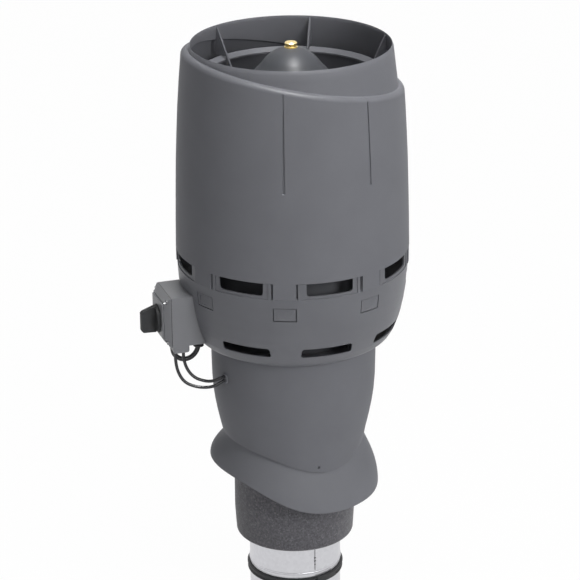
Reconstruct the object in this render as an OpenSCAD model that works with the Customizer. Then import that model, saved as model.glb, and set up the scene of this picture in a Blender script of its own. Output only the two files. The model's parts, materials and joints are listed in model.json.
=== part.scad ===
// Roof exhaust fan for a round duct, upright discharge.
// Origin: centre of the steel duct's lower end. +Z runs up the duct, -Y is the front, -X is the switch side.
// Angles round the axis are counted from the front, positive towards +X.

/* [Duct] */
// Outer diameter of the steel duct
duct_d = 160; // [140:1:165]
// Sheet thickness of the duct
duct_wall = 1; // [0.7:0.1:1.6]
// Height of the rolled bead above the duct's lower end
bead_z = 62; // [50:1:80]
// How far the duct reaches up past the lower body's top face
duct_reach = 50; // [40:1:52]
// Outer diameter of the insulation sleeve
foam_d = 210; // [190:1:214]
// Height of the insulation's lower edge
foam_z = 117; // [90:1:150]
// How far the rubber seal's lip stands out from the duct
seal_lip = 4.5; // [2.5:0.1:6]

/* [Lower body] */
// Wall of the moulded plastic shells
wall = 3; // [2:0.1:3.5]
// Height of the lower body's top face
body_top = 490; // [488:1:500]
// Radius of the lower body under the bowl
body_r = 141.3; // [138:0.1:146]
// Room from the insulation to the outside of the lower body's lower edge
neck_room = 15; // [14:0.1:19]
// Height where the lower body's edge runs round the back
edge_z = 316; // [310:1:322]
// How far the front lobe of that edge hangs down
lobe_drop = 45; // [20:1:50]
// Direction of the front lobe
lobe_at = 13; // [0:1:20]
// Diameter of the fixing screw's hole in the lobe
fixing_hole_d = 4.5; // [3:0.1:6]

/* [Skirt] */
// Radius of the skirt's rim at the back
skirt_back_r = 149; // [138:0.5:150]
// Radius of the skirt's rim at its narrow flanks
skirt_side_r = 137.5; // [134:0.5:142]
// Radius of the skirt's rim at the front
skirt_front_r = 147.5; // [142:0.5:152]
// Height of the skirt's rim at the back
skirt_back_z = 259; // [250:1:265]
// Height of the skirt's rim at the front
skirt_front_z = 207; // [200:1:220]
// Direction of the skirt's lowest point
skirt_at = 31; // [0:1:40]

/* [Bowl] */
// Height of the bowl, up to the step under the window frames
bowl_h = 134; // [128:1:138]
// How far the window ring reaches up into the hood
ring_lap = 16; // [12:1:24]
// Number of windows, drain slots, tongues and latches
bays = 8; // [8:8:8]
// Width of a window
window_w = 80; // [60:1:84]
// Height of the sill under a window, from the step
sill_h = 5; // [4:0.5:10]
// Width of a drain slot
slot_w = 88; // [60:1:94]
// Height of a drain slot's lower edge over the bowl's underside
slot_rise = 24; // [20:1:28]
// Height of a drain slot
slot_h = 17; // [10:0.5:20]
// How far a latch's lower edge lies below the step
latch_drop = 38.5; // [34:0.5:42]
// Height of a latch
latch_h = 22.8; // [18:0.1:26]
// Half the angle that a latch and a tongue cover
tongue_half = 5.5; // [4:0.1:6]

/* [Hood] */
// Height of the window frames, from the step to the hood's lower edge
frame_h = 28; // [26:1:30]
// Height of the hood, from its lower edge to the collar's rim
hood_h = 350; // [330:1:368]
// Outer radius of the hood at its lower edge
hood_r = 197.2; // [197:0.1:199]
// How far the hood draws in from its lower edge to the shoulder
hood_draw = 16.2; // [13.5:0.1:18]
// How far the collar's rim lies inside the hood's lower edge
collar_inset = 28.4; // [26:0.1:31]
// Slant of the shoulder from level
shoulder_tilt = 11; // [0:0.5:12]
// Depth of the shoulder under the rim, on the axis
shoulder_drop = 40; // [36:1:52]
// How far the flat of the shoulder reaches out from the collar's rim
shoulder_w = 7.7; // [6:0.1:9]

/* [Fan] */
// Rain gap from the inside of the collar's rim to the inside of the inner duct
rain_gap = 12.8; // [12:0.1:14.5]
// Depth of the inner duct's top ring under the rim
mouth_depth = 51; // [47:1:72]
// Number of guide vanes
vanes = 6; // [3:1:8]
// Thickness of a guide vane
vane_t = 3; // [2:0.5:5]
// Width of the air path from the motor cover to the inner duct
air_w = 55; // [50:1:62]
// Height of the dome over the hub
dome_h = 132; // [124:1:144]
// Depth of the dome's flat top under the rim
dome_depth = 8; // [4:1:17]
// Outer radius of the impeller
impeller_r = 112; // [100:1:118]
// Radius of the impeller's eye
eye_r = 65; // [62:0.5:70]
// Height of the impeller's lower edge over the casing's floor
impeller_rise = 52; // [47:1:57]
// Height of the impeller
impeller_h = 58; // [51:1:65]
// Number of impeller blades
blades = 7; // [5:1:9]
// Outer radius of the motor's rotor
rotor_r = 51; // [45:1:55]
// Height of the motor's rotor can
rotor_h = 75; // [60:1:85]

/* [Switch box] */
// Width of the switch box
box_w = 82; // [70:1:90]
// Height of the switch box's underside over the bowl's
box_rise = 16.5; // [14:0.5:20]
// Height of the switch box
box_h = 88; // [80:1:96]
// How far the lid's face stands out from the bowl's widest part
box_reach = 41.8; // [36:0.1:50]
// Depth of the lid
lid_d = 11; // [8:0.5:16]
// Side of the square face plate
bezel_w = 60; // [50:1:66]
// Reach of the knob's grip from the face plate
knob_reach = 29; // [20:1:36]

/* [Cables] */
// Diameter of the supply cable
supply_d = 8.4; // [7:0.1:9]
// Diameter of a motor cable
motor_cable_d = 5.4; // [4:0.1:5.6]

/* [Hidden] */
$fn = 96;
plastic = "#6c6d71";
dark_plastic = "#3d3e40";
steel = "#c6c6cb";
rubber = "#1e1e21";

gap = 0.3;              // seat clearance between separate pieces
big = 400;              // larger than any radius of the fan
bay_step = 360/bays;
pipe_r = duct_d/2;
foam_r = foam_d/2;
duct_top = body_top + duct_reach;
body_neck_r = foam_r + neck_room;
floor_z = body_top;     // the bowl stands on the lower body
slot_z = floor_z + slot_rise;
frame_z = floor_z + bowl_h;
window_z = frame_z + sill_h;
latch_z = frame_z - latch_drop;
hood_z = frame_z + frame_h;
ring_top = hood_z + ring_lap;
rim_z = hood_z + hood_h;
hood_k = hood_h/350;    // the hood's outline is drawn for a height of 350
hood_top_r = hood_r - hood_draw;
collar_r = hood_r - collar_inset;
shoulder_z = rim_z - shoulder_drop;
shoulder_r = collar_r + shoulder_w;
air_r = collar_r - wall - rain_gap;
air_top = rim_z - mouth_depth;
hub_r = air_r - air_w;
dome_top = rim_z - dome_depth;
dome_z = dome_top - dome_h;
casing_z = floor_z + 55;
casing_top = casing_z + 155; // joint between the fan casing and the inner duct
impeller_z = casing_z + impeller_rise;
back_plate_z = impeller_z + impeller_h;
socket_l = 16;          // the casing's socket over the duct's end
casing_lap = 16;        // the inner duct over the casing
vane_drop = 72;         // foot of the guide vanes under the dome
corner_r = 16;          // bend between the casing's floor and its wall
bolt_circle = body_r - 17.3; // radius that the screws of the bowl stand on
stand_r = bolt_circle - 16;  // ring that the casing stands on
floor_hole_r = pipe_r + 4.6;
ring_gap = 0.7;         // between the hood's wall and the window ring
ring_r = hood_r - wall - ring_gap;
bowl_r = hood_r - 2;    // the bowl under the window frames
box_bay = 6;            // bay behind the switch box, which has no drain slot
lip = 0.6;              // how far the lower body draws in at its lower edge
motor_circle = 32;      // radius that the motor's screws stand on
impeller_circle = 30;   // radius that the impeller's screws stand on
rib_half = tongue_half + 2.5;
slit_half = tongue_half + 1;
lift_gap = 0.4;         // between a tongue and the ring behind it
groove_w = 14;          // groove rolled into the duct for the seal
groove_z = bead_z - 22;
groove_r = pipe_r - 1.5;
rotor_z = back_plate_z;
rotor_top = rotor_z + rotor_h;
stator_flange_z = rotor_top + 3;
hub_floor = stator_flange_z + 23; // underside of the plate that carries the motor
box_back = bowl_r - 35; // the box's shell is cut back from here to the bowl
lid_x = bowl_r + box_reach; // the lid's face from the duct's axis
lid_back = lid_x - lid_d;
box_z = floor_z + box_rise;
box_mid = box_z + box_h/2;
switch_z = box_mid - 3.5;
bezel_t = 3;
bezel_x = lid_x + bezel_t;
boss_x = box_w/2 - 7;   // lid screws from the box's middle
clamp_edge = box_w/2 - 1;  // outer side of the cable clamp, from the box's middle
clamp_y = lid_x - 12;      // its front side from the duct's axis
clamp_x = clamp_edge - 8;  // clamp screws from the box's middle
clamp_ys = [clamp_y - 4, clamp_y - 24]; // clamp screws from the duct's axis
motor_ys = [clamp_y - 7, clamp_y - 21]; // motor cables from the duct's axis, under the box
motor_x = clamp_edge - 14; // motor cables from the box's middle
pilot_r = 1.7;          // hole for a small screw
gasket_t = 1.2;
screw_sink = 5;         // depth of the lid screws' pockets
lid_screw_l = 24;
body_screw_l = 15;
impeller_screw_l = 9;
switch_size = [44, 32, 48]; // isolator block behind the lid
supply_y = lid_x - 22;  // supply cable from the duct's axis, under the box
entry_y = bowl_r - 26.2; // the same cable where it enters the bowl
entry_z = floor_z - 4;  // lower end of its sleeve
supply_x = -2;
supply_r = supply_d/2;
motor_cable_r = motor_cable_d/2;

// Points of an arc in a profile, from angle a to angle b
function arc(cx, cy, r, a, b, n) = [for (i = [0:n]) let (t = a + (b - a)*i/n) [cx + r*cos(t), cy + r*sin(t)]];
function reversed(p) = [for (i = [len(p) - 1:-1:0]) p[i]];
function grown(p, d) = [for (q = p) [q[0] + d, q[1]]];

// Turn a child that faces the front to angle a round the axis
module at(a) rotate([0, 0, a]) children();

// Revolved shell between an outer and an inner profile
module revolved(outer, inner) rotate_extrude() polygon(concat(outer, reversed(inner)));

// Sector of a ring, centred on the front
module sector(r0, r1, z0, z1, half) {
    rotate([0, 0, -90 - half])
        rotate_extrude(angle = 2*half)
            translate([r0, z0]) square([r1 - r0, z1 - z0]);
}

// Opening with rounded corners, cut from the front through the wall
module port(w, z0, z1, r, y0, y1) {
    translate([0, -y0, 0]) rotate([90, 0, 0]) linear_extrude(y1 - y0) {
        translate([-w/2 + r, z0]) square([w - 2*r, z1 - z0]);
        translate([-w/2, z0 + r]) square([w, z1 - z0 - 2*r]);
        for (x = [-w/2 + r, w/2 - r]) {
            for (z = [z0 + r, z1 - r]) translate([x, z]) circle(r);
        }
    }
}

// Closed solid through rings of points, closed both ways round
module ring_solid(rings) {
    m = len(rings);
    n = len(rings[0]);
    points = [for (ring = rings) for (p = ring) p];
    faces = [for (i = [0:m - 1]) for (j = [0:n - 1])
        let (i2 = (i + 1)%m, j2 = (j + 1)%n) [i*n + j, i*n + j2, i2*n + j2, i2*n + j]];
    polyhedron(points, faces, convexity = 6);
}

function unit(v) = v/norm(v);

// Plain tube along a route of points, for a cable
module tube(route, r, sides = 8) {
    last = len(route) - 1;
    rings = [for (i = [0:last])
        let (t = unit(route[min(i + 1, last)] - route[max(i - 1, 0)]),
            u = unit(cross(t, [0, 1, 0])),
            v = cross(t, u))
        [for (k = [0:sides - 1]) route[i] + r*cos(360*k/sides)*u + r*sin(360*k/sides)*v]];
    points = [for (ring = rings) for (p = ring) p];
    walls = [for (i = [0:last - 1]) for (k = [0:sides - 1])
        let (k2 = (k + 1)%sides) [i*sides + k, (i + 1)*sides + k, (i + 1)*sides + k2, i*sides + k2]];
    ends = [[for (k = [0:sides - 1]) k], [for (k = [sides - 1:-1:0]) last*sides + k]];
    polyhedron(points, concat(walls, ends), convexity = 4);
}

// Duct

module duct_pipe() {
    bead_r = 2;
    bore_r = pipe_r - duct_wall;
    color(steel) difference() {
        union() {
            rotate_extrude() polygon(concat([[0, 0], [pipe_r, 0]], groove_side(pipe_r, 0),
                [[pipe_r, duct_top], [0, duct_top]]));
            translate([0, 0, bead_z]) rotate_extrude() translate([pipe_r - 0.8, 0]) circle(bead_r, $fn = 24);
            at(8) translate([0, -pipe_r, foam_z/2 + bead_z/2 + 2])
                cube([3, 0.8, foam_z - bead_z - 8], center = true);
        }
        rotate_extrude() polygon(concat([[0, -1], [bore_r, -1]], groove_side(bore_r, 0.6),
            [[bore_r, duct_top + 1], [0, duct_top + 1]]));
    }
}

// Side of the duct at the seal's groove, from below, narrower at each end by a share of its width
function groove_side(r, inset) = [[r, groove_z + inset], [r - (pipe_r - groove_r), groove_z + inset + 1],
    [r - (pipe_r - groove_r), groove_z + groove_w - inset - 1], [r, groove_z + groove_w - inset]];

module pipe_seal() {
    low = groove_z + 0.5;
    top = groove_z + groove_w - 0.5;
    seat_r = groove_r + 0.05;
    lip_r = pipe_r + seal_lip;
    color(rubber) {
        rotate_extrude() polygon([[seat_r, low + 0.9], [seat_r, top - 0.9], [pipe_r + gap, top],
            [pipe_r + 1.5, top], [lip_r, top - 1.5], [lip_r, top - 3], [pipe_r + 1.8, top - 4],
            [pipe_r + 1.8, top - 9], [lip_r - 0.6, top - 10.5], [lip_r - 0.6, top - 12],
            [pipe_r + 1.5, low], [pipe_r + gap, low]]);
        at(23) sector(pipe_r + 1.3, lip_r + 1.2, top - 9, top - 0.5, 14);
    }
}

module insulation() {
    draft = 2.4;
    round_r = 5;
    top = body_top - wall - gap;
    color("#4b4b4f") rotate_extrude() polygon(concat([[pipe_r + gap, foam_z]],
        arc(foam_r - draft - round_r, foam_z + round_r, round_r, -90, 0, 5),
        [[foam_r, foam_z + 45], [foam_r, top], [pipe_r + gap, top]]));
}

// Slanting outlines of the lower body and the skirt, by angle from the front

function lobe(a) = pow((1 + cos(a - lobe_at))/2, 5.3);
function seam_z(a) = edge_z - lobe_drop*lobe(a);
function dip(a) = exp(-pow((1 - cos(a - skirt_at))/0.66, 2));
function rim_height(a) = skirt_back_z - (skirt_back_z - skirt_front_z)*dip(a);
function back_part(a) = exp(-pow((1 + cos(a - skirt_at))/0.5, 2));
function rim_radius(a) = skirt_side_r + (skirt_front_r - skirt_side_r)*dip(a)
    + (skirt_back_r - skirt_side_r)*back_part(a);

neck_r = body_neck_r - lip - wall - gap;
neck_top = edge_z + 26;
function flare(t, a) = pow(sin(90*t), 2 - 0.9*dip(a));
function skirt_r(t, a) = neck_r + (rim_radius(a) - neck_r)*flare(t, a);
function skirt_z(t, a) = seam_z(a) + (rim_height(a) - seam_z(a))*t;

skirt_steps = [0, 0.12, 0.25, 0.4, 0.55, 0.7, 0.85, 1];
function skirt_ring(r_of, z_of, n = 60) = [for (i = [0:n - 1]) let (a = 360*i/n)
    [r_of(a)*sin(a), -r_of(a)*cos(a), z_of(a)]];

module storm_skirt() {
    outer = [for (t = skirt_steps) skirt_ring(function (a) skirt_r(t, a), function (a) skirt_z(t, a))];
    inner = [for (t = reversed(skirt_steps))
        skirt_ring(function (a) skirt_r(t, a) - wall*(1 + 0.25*(1 - t)),
            function (a) skirt_z(t, a) - 0.6*(1 - t))];
    top_out = skirt_ring(function (a) neck_r, function (a) neck_top);
    top_in = skirt_ring(function (a) neck_r - wall, function (a) neck_top);
    color(plastic) difference() {
        ring_solid(concat([top_out], outer, inner, [top_in]));
        at(2) fixing_hole(neck_r - 12);
    }
}

// Radial hole for the fixing screw in the front lobe
module fixing_hole(from_r) {
    translate([0, -from_r, edge_z - lobe_drop + 13]) rotate([90, 0, 0]) cylinder(d = fixing_hole_d, h = 40);
}

// Outline of the lower body, drawn for a swell of 21.3 from its lower edge to its top
body_k = (body_r - body_neck_r)/21.3;
body_swell = [[3, 309], [7.9, 330], [12.3, 350], [16, 370], [18.7, 390], [20.2, 412]];
body_pts = concat([[body_neck_r - lip, 262], [body_neck_r, 285]],
    [for (p = body_swell) [body_neck_r + p[0]*body_k, p[1]]],
    [[body_r - 0.2, 440], [body_r, body_top]]);

module lower_body() {
    cutter = [for (s = [-160:8:160])
        [s, edge_z - lobe_drop*pow((1 + max(-1, min(1, s/body_neck_r)))/2, 5.3)]];
    color(plastic) difference() {
        union() {
            revolved(body_pts, grown(body_pts, -wall));
            translate([0, 0, body_top - wall]) difference() {
                cylinder(r = body_r - 1, h = wall);
                translate([0, 0, -1]) cylinder(r = pipe_r + 4, h = wall + 2);
            }
        }
        at(lobe_at) translate([big/2, 0, 0]) rotate([90, 0, -90]) linear_extrude(big)
            polygon(concat([[160, 200], [-160, 200]], cutter));
        at(2) fixing_hole(neck_r - 12);
        at(grommet_at) cable_hole(grommet_r + gap);
        body_bolts() cylinder(d = 6.6, h = 40, center = true);
    }
}

// Bowl with its drain slots, window ring and latch pockets

bend_r = 22;            // bend between the bowl's floor and its wall
function bowl_bend(r) = arc(bowl_r - 45.2, floor_z + bend_r, r, -90, -25, 6);
bowl_side = [[bowl_r - 17.2, floor_z + 30], [bowl_r - 13.6, floor_z + 40], [bowl_r - 10.8, floor_z + 50],
    [bowl_r - 6.6, floor_z + 70], [bowl_r - 3.5, floor_z + 90], [bowl_r - 1.4, floor_z + 110]];
bowl_pts = concat([[floor_hole_r, floor_z]], bowl_bend(bend_r), [[bowl_r - 21, floor_z + 20]], bowl_side,
    [[bowl_r, frame_z]]);
bowl_in = concat([[floor_hole_r, floor_z + wall]], bowl_bend(bend_r - wall),
    grown(concat([[bowl_r - 21, floor_z + 21]], bowl_side), -wall), [[ring_r - wall, frame_z]]);

module bowl_solid(d) rotate_extrude()
    polygon(concat(grown(bowl_pts, d), [[bowl_r + d, ring_top], [0, ring_top], [0, floor_z]]));

module latch_window(grow) {
    half = tongue_half + grow*0.3;
    sector(bowl_r - 15, bowl_r + 10, latch_z - grow*0.9, latch_z + latch_h + grow*gap, half);
}

module outlet_bowl() {
    color(plastic) difference() {
        union() {
            revolved(concat(bowl_pts, [[ring_r, frame_z], [ring_r, ring_top]]),
                concat(bowl_in, [[ring_r - wall, ring_top]]));
            for (i = [0:bays - 1]) at((i + 0.5)*bay_step) for (s = [-1, 1])
                at(s*(slit_half + rib_half)/2)
                    sector(ring_r - 1, bowl_r - gap, frame_z - 1, hood_z - gap, (rib_half - slit_half)/2);
        }
        for (i = [0:bays - 1]) at(i*bay_step) {
            port(window_w, window_z, ring_top - 8, 6, ring_r - 12, ring_r + 12);
            if (i != box_bay) port(slot_w, slot_z, slot_z + slot_h, 4.5, bowl_r - 49, bowl_r + 10);
            at(bay_step/2) latch_window(1);
            for (s = [-1, 1]) at(bay_step/2 + s*(tongue_half + 0.5))
                sector(ring_r - wall - 1, bowl_r + 1, frame_z + 2, hood_z + 3, 0.32);
        }
        at(-90) supply_entry(sleeve_r + gap);
        body_bolts() cylinder(d = 6.6, h = 40, center = true);
    }
}

module latch(i) {
    recess_depth = 2.7;
    color(plastic) at((i - 0.5)*bay_step) difference() {
        intersection() {
            revolved(bowl_pts, bowl_in);
            latch_window(0);
        }
        translate([0, -bowl_r + recess_depth, latch_z + latch_h - 4])
            rotate([0, 0, -4]) translate([-13, -10, -14]) cube([26, 10, 14]);
    }
}

// Hood

hood_curve = [[0, 0], [0.8, 48], [2, 98], [3.4, 148], [5.7, 198], [8.4, 248], [13, 308]];
hood_pts = concat([for (p = hood_curve) [hood_r - p[0], hood_z + p[1]*hood_k]],
    [[hood_top_r, rim_z - 10], [hood_top_r - 2, rim_z + 8]]);
collar_depth = 44;
collar_z = shoulder_z - collar_depth; // foot of the collar, inside the hood
collar_pts = [[collar_r + 9.4, collar_z], [collar_r, rim_z - 6], [collar_r - 2.4, rim_z]];

// Everything under the slanting shoulder, with its edge bevelled in two steps
module under_shoulder(drop, shrink) {
    r = shoulder_r - shrink;
    translate([0, 0, shoulder_z - drop]) rotate([0, shoulder_tilt, 0]) {
        translate([0, 0, -3]) cylinder(r1 = r + 6, r2 = r, h = 3);
        translate([0, 0, -14]) cylinder(r1 = r + 15, r2 = r + 6, h = 11);
        translate([0, 0, -big]) cylinder(r = big, h = big - 14);
    }
}

module hood_body(pts, drop, shrink) {
    intersection() {
        rotate_extrude() polygon(concat(pts, [[0, pts[len(pts) - 1][1]], [0, pts[0][1]]]));
        under_shoulder(drop, shrink);
    }
}

module hood() {
    groove_low = hood_z + 153.5*hood_k;
    groove_len = 165*hood_k;
    color(plastic) difference() {
        union() {
            hood_body(hood_pts, 0, 0);
            rotate_extrude() polygon(concat(collar_pts, [[0, rim_z], [0, collar_z]]));
            for (i = [0:bays - 1]) at((i + 0.5)*bay_step)
                sector(ring_r + lift_gap, hood_r - 0.4, frame_z + gap, hood_z + 1, tongue_half);
        }
        translate([0, 0, -0.01]) hood_body(grown(hood_pts, -wall), wall, 1);
        rotate_extrude() polygon([[collar_r + 9.8 - wall, collar_z - 4], [collar_r - wall, rim_z - 6],
            [collar_r - wall, rim_z + 1], [0, rim_z + 1], [0, collar_z - 4]]);
        for (a = [-22.5, 22.5, 157.5, 202.5]) at(a)
            translate([0, -hood_r + 3.6, groove_low]) rotate([-3.4, 0, 0]) groove(groove_len);
    }
}

// Tapered groove up the hood, wide and deep at its lower end
module groove(length) {
    translate([0, 1.6, 0]) rotate([90, 0, 0]) linear_extrude(6)
        polygon([[-2.1, 0], [2.1, 0], [0.5, length], [-0.5, length]]);
}

// Air path

module fan_casing() {
    r = air_r - 0.5;
    socket_z = duct_top - socket_l;
    socket_r = pipe_r + gap;
    color(dark_plastic) revolved(
        concat([[socket_r + wall, socket_z], [socket_r + wall, casing_z], [stand_r, casing_z],
            [stand_r, floor_z + wall], [stand_r + wall, floor_z + wall], [stand_r + wall, casing_z]],
            arc(r - corner_r, casing_z + corner_r, corner_r, -90, 0, 6), [[r, casing_top]]),
        concat([[socket_r, socket_z], [socket_r, casing_z + wall]],
            arc(r - corner_r, casing_z + corner_r, corner_r - wall, -90, 0, 6), [[r - wall, casing_top]]));
}

module inlet_nozzle() {
    z0 = casing_z + wall;
    sheet = 1.5;
    throat_r = eye_r - 4;
    flare_r = pipe_r - throat_r;
    flare_h = impeller_rise - wall - 7;
    nose_z = impeller_z + 7;
    curve = [for (a = [0:15:90]) [throat_r + flare_r*(1 - sin(a)), z0 + flare_h*(1 - cos(a))]];
    color(steel) revolved(concat([[stand_r, z0], [stand_r, z0 + sheet], [pipe_r + 3, z0 + sheet]],
        [for (q = curve) if (q[1] > z0 + 2) [q[0] + sheet, q[1]]], [[throat_r + sheet, nose_z]]),
        concat(curve, [[throat_r, nose_z]]));
}

module inner_duct() {
    low = casing_top - casing_lap;
    color(plastic) rotate_extrude() polygon([[air_r, low], [air_r + wall, low], [air_r + wall, air_top],
        [air_r + wall - 1, air_top], [air_r - 7, air_top - 6], [air_r - 7, air_top - 9], [air_r, air_top - 5],
        [air_r, casing_top + 3.5], [air_r - wall, casing_top + 3], [air_r - wall, casing_top],
        [air_r, casing_top]]);
}

module vane_ring() {
    plate_z0 = dome_z - vane_drop;
    foot_z = air_top + gap;
    tip_z = rim_z - 3;
    tip_r = collar_r - wall - 0.7;
    color(plastic) difference() {
        union() {
            cylinder_shell(hub_r, hub_r - 3, hub_floor, dome_z);
            translate([0, 0, hub_floor]) cylinder(r = hub_r - 1, h = 4);
            for (i = [0:vanes - 1]) at(30 + i*360/vanes)
                rotate([90, 0, -90]) translate([0, 0, -vane_t/2]) linear_extrude(vane_t)
                    polygon([[-hub_r + 1, plate_z0], [-air_r + 8, plate_z0 + 20], [-air_r + 8, foot_z],
                        [-tip_r - 5, foot_z], [-tip_r, tip_z], [-hub_r - 2*gap, dome_z - gap],
                        [-hub_r + 1, dome_z - gap]]);
        }
        translate([0, 0, hub_floor - 1]) cylinder(r = 14, h = 6);
        motor_bolts() cylinder(d = 6.6, h = 20, center = true);
    }
}

module cylinder_shell(r_out, r_in, z0, z1) {
    translate([0, 0, z0]) difference() {
        cylinder(r = r_out, h = z1 - z0);
        translate([0, 0, -1]) cylinder(r = r_in, h = z1 - z0 + 2);
    }
}

// Outline of the dome, as shares of its radius and height
dome_shape = [[1, 0], [0.98, 0.172], [0.903, 0.362], [0.776, 0.544], [0.633, 0.689], [0.52, 0.78],
    [0.434, 0.86], [0.316, 0.935], [0.204, 0.981], [0.122, 1]];
dome_foot = dome_z + gap;
dome_pts = [for (p = dome_shape) [p[0]*hub_r, dome_foot + p[1]*(dome_top - dome_foot)]];

module motor_dome() {
    stud_hole_r = 4.4;
    inside = [for (i = [1:len(dome_pts) - 1]) dome_pts[i] - [wall*0.75, wall*0.8]];
    color(plastic) rotate_extrude() polygon(concat(dome_pts, [[stud_hole_r, dome_top],
        [stud_hole_r, dome_top - wall]], reversed(inside), [[hub_r - wall, dome_foot]]));
}

module dome_nut() {
    color("#d2b25c") difference() {
        translate([0, 0, dome_top]) rotate_extrude()
            polygon([[0, 0], [11, 0], [11, 1.4], [9.5, 1.8], [9.5, 4], [10.3, 4.6], [10.3, 7.5],
                [9, 9], [0, 9]]);
        translate([0, 0, dome_top - 1]) cylinder(r = 4.05, h = 7);
    }
}

module motor_stud() {
    color(steel) translate([0, 0, hub_floor + 0.2]) {
        cylinder(r = 4, h = dome_top + 5 - hub_floor);
        translate([0, 0, 4]) cylinder(r = 7.5, h = 6, $fn = 6);
    }
}

// Motor and impeller

module motor_bolts() {
    for (a = [45:90:315]) rotate([0, 0, a]) translate([motor_circle, 0, hub_floor]) children();
}

module motor_stator() {
    color("#8f9296") difference() {
        union() {
            translate([0, 0, rotor_z + 12]) cylinder(r = rotor_r - 5, h = rotor_h - 18);
            translate([0, 0, rotor_z + 12]) cylinder(r = 15, h = rotor_h);
            translate([0, 0, stator_flange_z]) cylinder(r = rotor_r + 1, h = 9);
            translate([0, 0, stator_flange_z]) cylinder(r = 44, h = hub_floor - stator_flange_z);
        }
        translate([0, 0, rotor_z]) cylinder(r = 11.05, h = rotor_h);
        motor_bolts() cylinder(d = 5, h = 30, center = true);
    }
}

module motor_rotor() {
    color("#7d8085") difference() {
        translate([0, 0, rotor_z + gap]) cylinder(r = rotor_r, h = rotor_h - gap);
        translate([0, 0, rotor_z + 8]) cylinder(r = rotor_r - 4, h = rotor_h);
        translate([0, 0, rotor_z - 1]) cylinder(r = 6.02, h = 20);
        impeller_bolts() cylinder(d = 4, h = 14, center = true);
    }
}

module motor_shaft() {
    color(steel) translate([0, 0, rotor_z - 4]) cylinder(r = 6, h = rotor_h - 4);
}

module motor_bearings() {
    color("#b9bbc0") for (z = [rotor_z + 14, rotor_top - 18]) cylinder_shell(11, 6.06, z, z + 8);
}

module blade_outline() {
    arc_x = 60;
    arc_r = 70;
    blade_t = 2;
    intersection() {
        difference() {
            translate([arc_x, 0]) circle(arc_r + blade_t/2);
            translate([arc_x, 0]) circle(arc_r - blade_t/2);
        }
        difference() {
            circle(impeller_r - 1);
            circle(eye_r + 1);
        }
        translate([-big, 0]) square(2*big);
    }
}

// Air side of the shroud, curving from the eye out to the rim
shroud_round = 14;
function shroud_side(r) = concat(
    [for (a = [0:15:90]) [eye_r + shroud_round - r*cos(a), impeller_z + r*sin(a)]],
    [[impeller_r, impeller_z + r + 6]]);

module impeller() {
    color("#5a5c60") difference() {
        union() {
            translate([0, 0, back_plate_z - 3]) cylinder(r = impeller_r, h = 3);
            intersection() {
                translate([0, 0, impeller_z - 1]) linear_extrude(back_plate_z - impeller_z - 1)
                    for (i = [0:blades - 1]) rotate(i*360/blades) blade_outline();
                rotate_extrude() polygon(concat(shroud_side(shroud_round + gap),
                    [[impeller_r, back_plate_z - 1], [eye_r - 1, back_plate_z - 1],
                        [eye_r - 1, impeller_z]]));
            }
        }
        translate([0, 0, back_plate_z - 4]) cylinder(r = 6.5, h = 6);
        impeller_bolts() cylinder(d = 4.4, h = 14, center = true);
    }
}

module impeller_shroud() {
    color("#5a5c60") revolved(shroud_side(shroud_round), shroud_side(shroud_round - 1.8));
}

module impeller_bolts() {
    for (a = [0:90:270]) rotate([0, 0, a]) translate([impeller_circle, 0, back_plate_z]) children();
}

module impeller_screws() {
    color(steel) impeller_bolts() {
        translate([0, 0, -3]) cylinder(r = 1.95, h = impeller_screw_l);
        translate([0, 0, -6]) cylinder(r = 3.6, h = 3);
    }
}

module motor_screws() {
    color(steel) motor_bolts() {
        translate([0, 0, -10]) cylinder(r = 2.45, h = 14);
        translate([0, 0, 4]) cylinder(r = 4.5, h = 4);
    }
}

module body_bolts() {
    for (a = [0:60:300]) rotate([0, 0, a]) translate([bolt_circle, 0, floor_z]) children();
}

module body_screws() {
    color(steel) body_bolts() {
        translate([0, 0, wall - body_screw_l]) cylinder(r = 3, h = body_screw_l);
        translate([0, 0, wall]) cylinder(r = 5, h = 5, $fn = 6);
    }
}

module body_nuts() {
    color(steel) body_bolts() translate([0, 0, -wall - 5]) difference() {
        cylinder(r = 5.5, h = 5, $fn = 6);
        translate([0, 0, -1]) cylinder(r = 3.05, h = 7);
    }
}

// Switch box, drawn facing the front and turned to the -X side

module chamfered_box(w, h, y0, y1, c) {
    hull() {
        translate([-w/2, -y1 + c, -h/2]) cube([w, y1 - y0 - c, h]);
        translate([-w/2 + c, -y1, -h/2 + c]) cube([w - 2*c, c, h - 2*c]);
    }
}

module box_shell(grow) {
    translate([-box_w/2 + grow, -lid_back, box_z + grow])
        cube([box_w - 2*grow, lid_back - box_back, box_h - 2*grow]);
}

// The four lid screws, from the joint between base and lid inwards
module lid_bolts() {
    for (x = [-boss_x, boss_x]) for (z = [box_z + 7, box_z + box_h - 7])
        translate([x, -lid_back, z]) rotate([-90, 0, 0]) children();
}

module box_base() {
    color(plastic) at(-90) difference() {
        union() {
            difference() {
                box_shell(0);
                difference() {
                    translate([0, -0.01, 0]) box_shell(wall);
                    bowl_solid(gap + wall);
                }
            }
            lid_bolts() cylinder(r = 5, h = 20);
        }
        bowl_solid(gap);
        supply_entry(sleeve_r + gap);
        lid_bolts() translate([0, 0, -1]) cylinder(r = pilot_r, h = 16);
        translate([supply_x, -supply_y, box_z - 1]) cylinder(r = 6.2, h = 6);
        for (y = motor_ys) translate([motor_x, -y, box_z - 1]) cylinder(r = motor_cable_r + 0.6, h = 6);
        for (y = clamp_ys) translate([clamp_x, -y, box_z - 1]) cylinder(r = pilot_r, h = 6);
    }
}

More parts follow.
